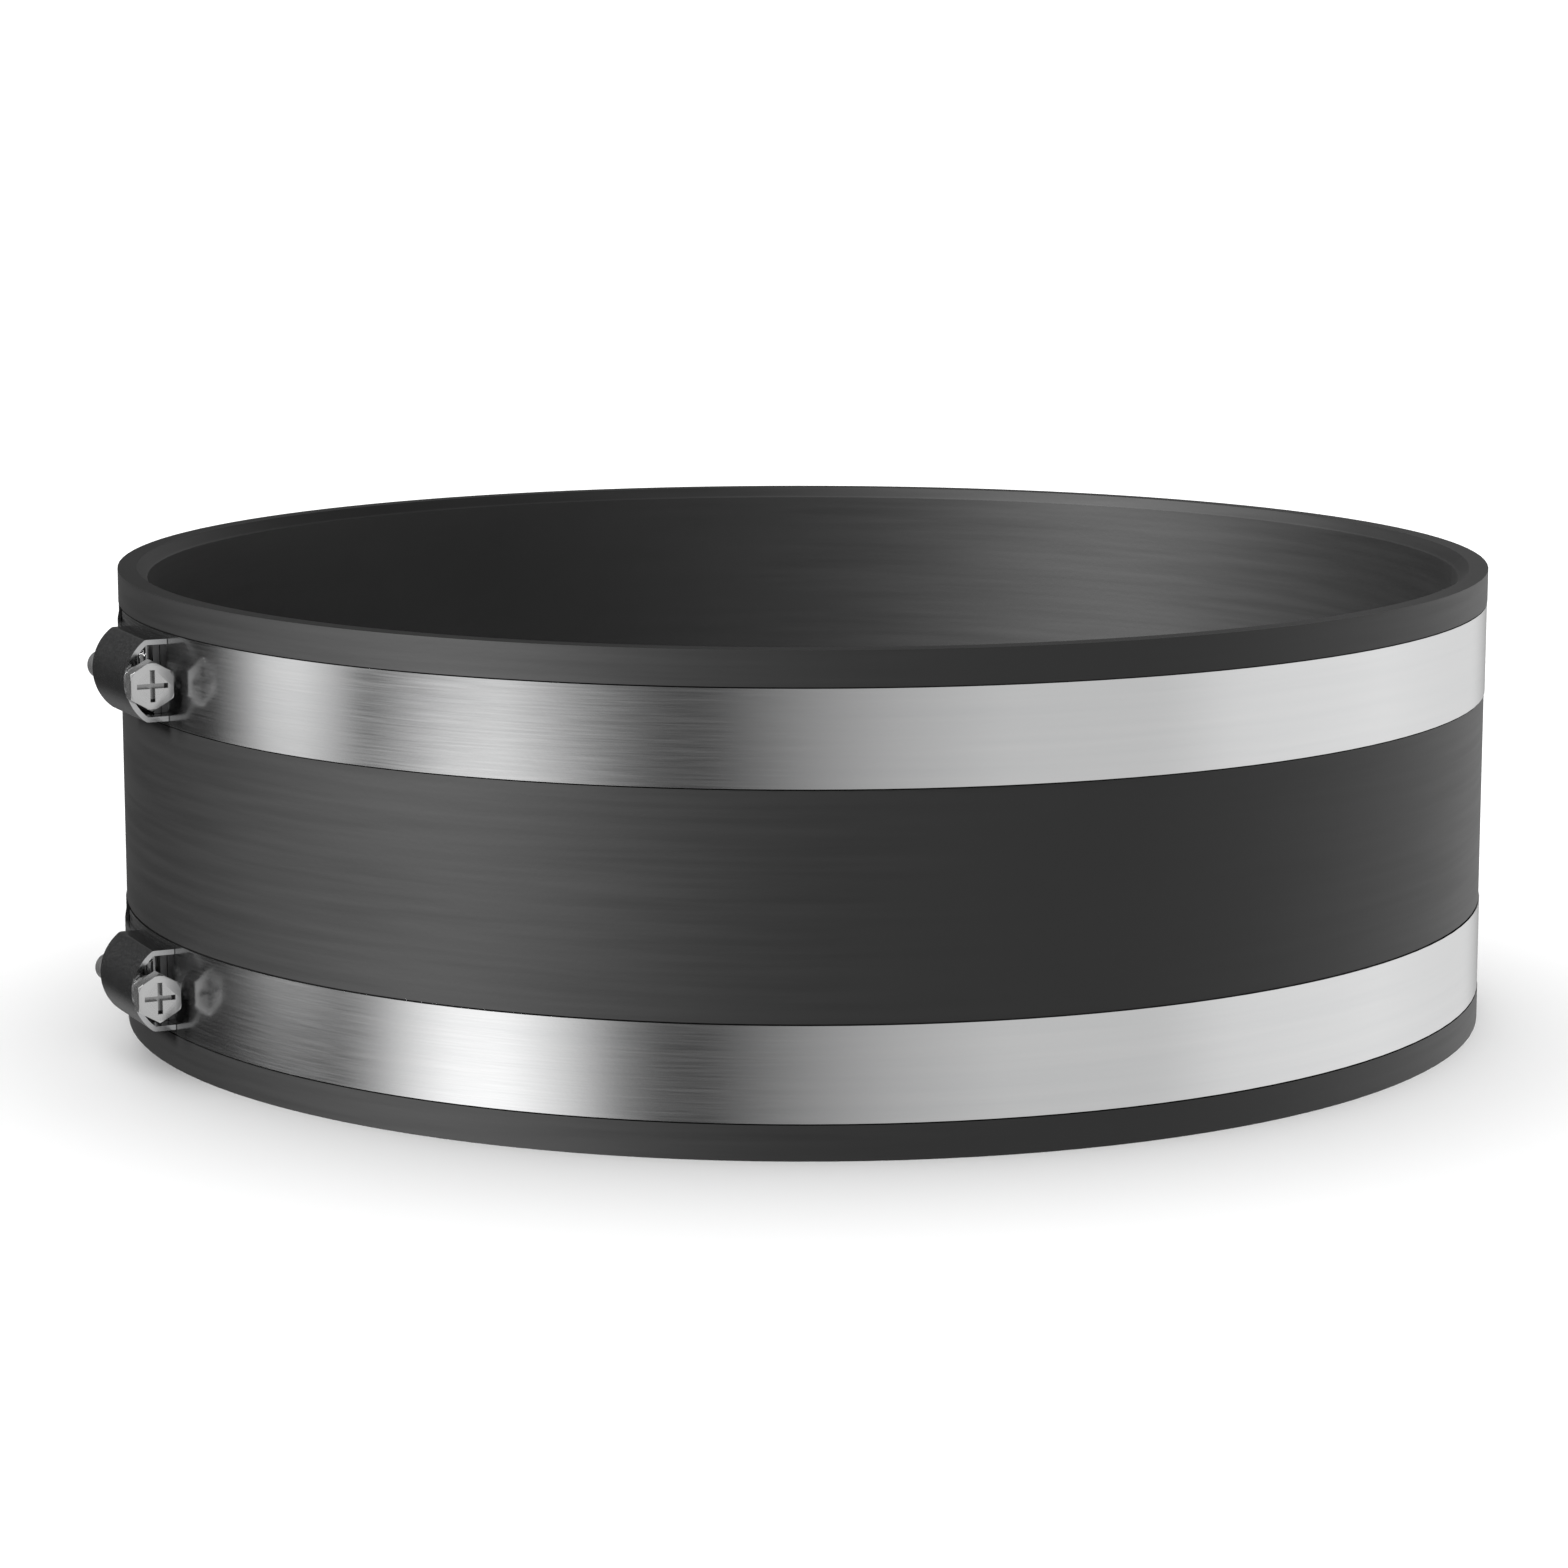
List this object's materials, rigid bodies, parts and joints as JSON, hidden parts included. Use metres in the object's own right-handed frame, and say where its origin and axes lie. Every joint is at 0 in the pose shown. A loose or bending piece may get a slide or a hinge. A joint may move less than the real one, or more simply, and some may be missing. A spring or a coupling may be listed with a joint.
{
  "type": "rubber duct coupler",
  "caption": "Short rubber sleeve that joins round ducts end to end, with a worm-drive strap clamp in a groove near each rim.",
  "frame": {"origin": "on the bore's axis at mid-height of the sleeve", "axes": "+Z along the bore towards the upper rim, -Y towards the viewer of the front, screw heads on the left (-X) side"},
  "size_m": [0.2124, 0.212, 0.07],
  "materials": {
    "sleeve_rubber": "satin moulded rubber",
    "strap_steel": "satin stainless strip",
    "housing_steel": "smooth stainless sheet",
    "screw_steel": "plated steel"
  },
  "bodies": {
    "root": {"rubber_sleeve": "sleeve_rubber", "upper_strap": "strap_steel", "upper_saddle": "strap_steel", "upper_housing": "housing_steel", "lower_strap": "strap_steel", "lower_saddle": "strap_steel", "lower_housing": "housing_steel"},
    "upper_screw": {"upper_screw": "screw_steel"},
    "lower_screw": {"lower_screw": "screw_steel"}
  },
  "joints": [
    {"name": "upper_screw_turn", "type": "hinge", "parent": "root", "child": "upper_screw", "pos_m": [-0.0986, -0.04809, 0.023], "axis": [-0.4384, 0.8988, 0], "continuous": true},
    {"name": "lower_screw_turn", "type": "hinge", "parent": "root", "child": "lower_screw", "pos_m": [-0.0986, -0.04809, -0.023], "axis": [-0.4384, 0.8988, 0], "continuous": true}
  ]
}
